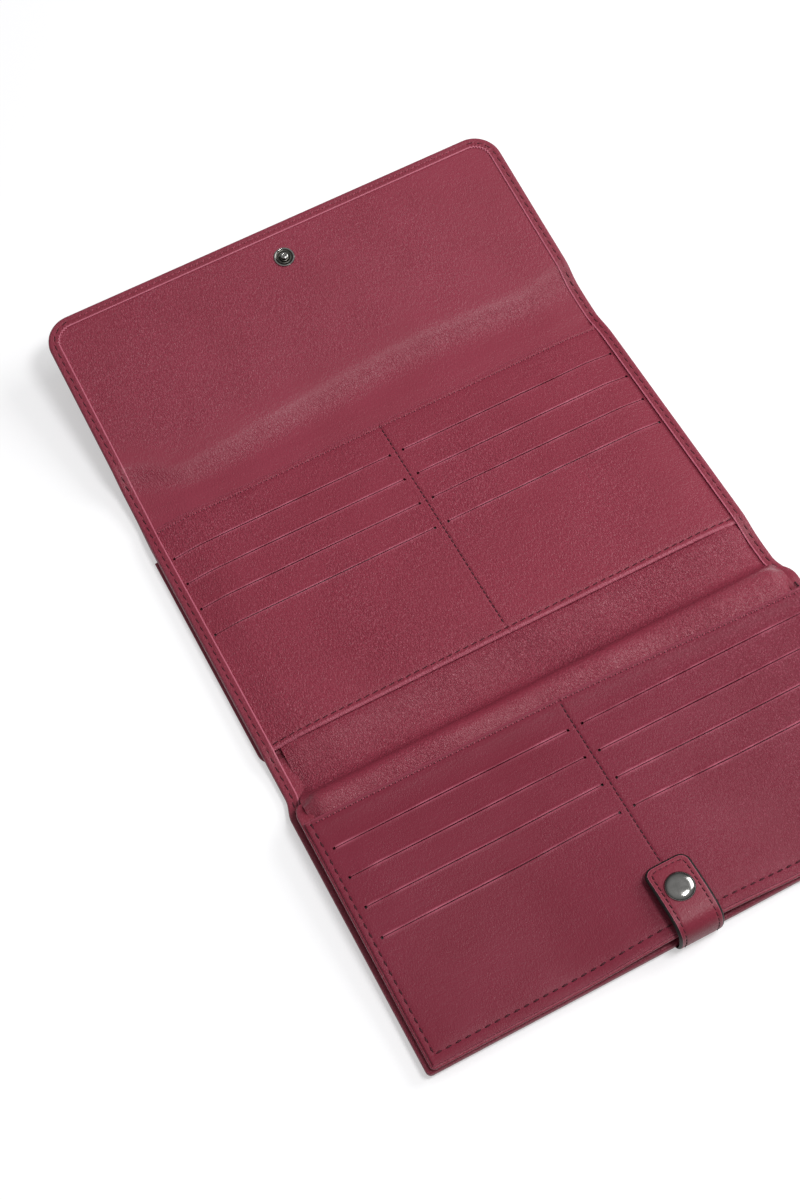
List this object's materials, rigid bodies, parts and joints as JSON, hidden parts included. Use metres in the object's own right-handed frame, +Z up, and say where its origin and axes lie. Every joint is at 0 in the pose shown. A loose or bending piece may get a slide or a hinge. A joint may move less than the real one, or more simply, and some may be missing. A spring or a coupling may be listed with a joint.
{
  "type": "travel wallet",
  "caption": "Folding leather travel wallet lying open: slot panels for cards, a document compartment under a hinged leaf, a snap tab and a closing flap with a snap.",
  "frame": {"origin": "on the table, under the middle of the open wallet's bounding box", "axes": "+X along the folds, +Y from the front cover towards the closing flap, +Z up from the table"},
  "size_m": [0.214, 0.35, 0.0275],
  "materials": {
    "cover_leather": "burgundy, fine natural grain, satin",
    "panel_leather": "burgundy, fine natural grain, satin",
    "lining_leather": "burgundy, smooth thin leather",
    "pocket_cloth": "dark woven pocket cloth",
    "stiffener_board": "plain fibre board, hidden",
    "snap_metal": "dark nickel plate, polished"
  },
  "bodies": {
    "back": {"back_pocket_panel": "cover_leather", "back_cover": "cover_leather", "back_stiffener": "stiffener_board", "back_lining": "lining_leather", "back_card_bag_left_1": "pocket_cloth", "back_card_bag_left_2": "pocket_cloth", "back_card_bag_left_3": "pocket_cloth", "back_card_bag_left_4": "pocket_cloth", "back_card_bag_right_1": "pocket_cloth", "back_card_bag_right_2": "pocket_cloth", "back_card_bag_right_3": "pocket_cloth", "back_card_bag_right_4": "pocket_cloth", "back_slot_panel": "panel_leather"},
    "flap_band": {"flap_band_cover": "cover_leather", "flap_band_lining": "lining_leather"},
    "flap": {"flap_cover": "cover_leather", "flap_stiffener": "stiffener_board", "flap_lining": "lining_leather", "flap_snap_stud": "snap_metal", "flap_snap_cap": "snap_metal"},
    "spine": {"spine_cover": "cover_leather", "spine_lining": "lining_leather", "hinge_strip": "panel_leather"},
    "front": {"front_cover": "cover_leather", "front_stiffener": "stiffener_board", "front_lining": "lining_leather", "front_snap_socket": "snap_metal", "tab_tail": "cover_leather"},
    "leaf": {"leaf_back": "cover_leather", "leaf_card_bag_left_1": "pocket_cloth", "leaf_card_bag_left_2": "pocket_cloth", "leaf_card_bag_left_3": "pocket_cloth", "leaf_card_bag_left_4": "pocket_cloth", "leaf_card_bag_right_1": "pocket_cloth", "leaf_card_bag_right_2": "pocket_cloth", "leaf_card_bag_right_3": "pocket_cloth", "leaf_card_bag_right_4": "pocket_cloth", "leaf_slot_panel": "panel_leather", "leaf_head_band": "panel_leather", "leaf_snap_stud": "snap_metal"},
    "tab": {"tab_bend": "cover_leather", "tab_strap": "cover_leather", "tab_lining": "lining_leather", "tab_snap_cap": "snap_metal", "tab_snap_socket": "snap_metal"}
  },
  "joints": [
    {"name": "flap_band_fold", "type": "hinge", "parent": "back", "child": "flap_band", "pos_m": [0, 0.07953, 0.0049], "axis": [1, 0, 0], "range_deg": [0, 72.7]},
    {"name": "flap_fold", "type": "hinge", "parent": "flap_band", "child": "flap", "pos_m": [0, 0.10317, 0.01226], "axis": [1, 0, 0], "range_deg": [0, 95.2]},
    {"name": "spine_fold", "type": "hinge", "parent": "back", "child": "spine", "pos_m": [0, -0.03857, 0.0043], "axis": [-1, 0, 0], "range_deg": [0, 90]},
    {"name": "front_fold", "type": "hinge", "parent": "spine", "child": "front", "pos_m": [0, -0.05901, 0.0043], "axis": [-1, 0, 0], "range_deg": [0, 90]},
    {"name": "leaf_turn", "type": "hinge", "parent": "spine", "child": "leaf", "pos_m": [0, -0.05901, 0.0043], "axis": [-1, 0, 0], "range_deg": [0, 90]},
    {"name": "tab_close", "type": "hinge", "parent": "front", "child": "tab", "pos_m": [0, -0.17409, 0.00955], "axis": [-1, 0, 0], "range_deg": [-170, 0], "deforming": ["tab_bend"]}
  ],
  "couplings": [
    {"joint": "flap_fold", "follows": "flap_band_fold", "ratio": 1.3094},
    {"joint": "front_fold", "follows": "spine_fold", "ratio": 1},
    {"joint": "leaf_turn", "follows": "spine_fold", "ratio": 1}
  ]
}
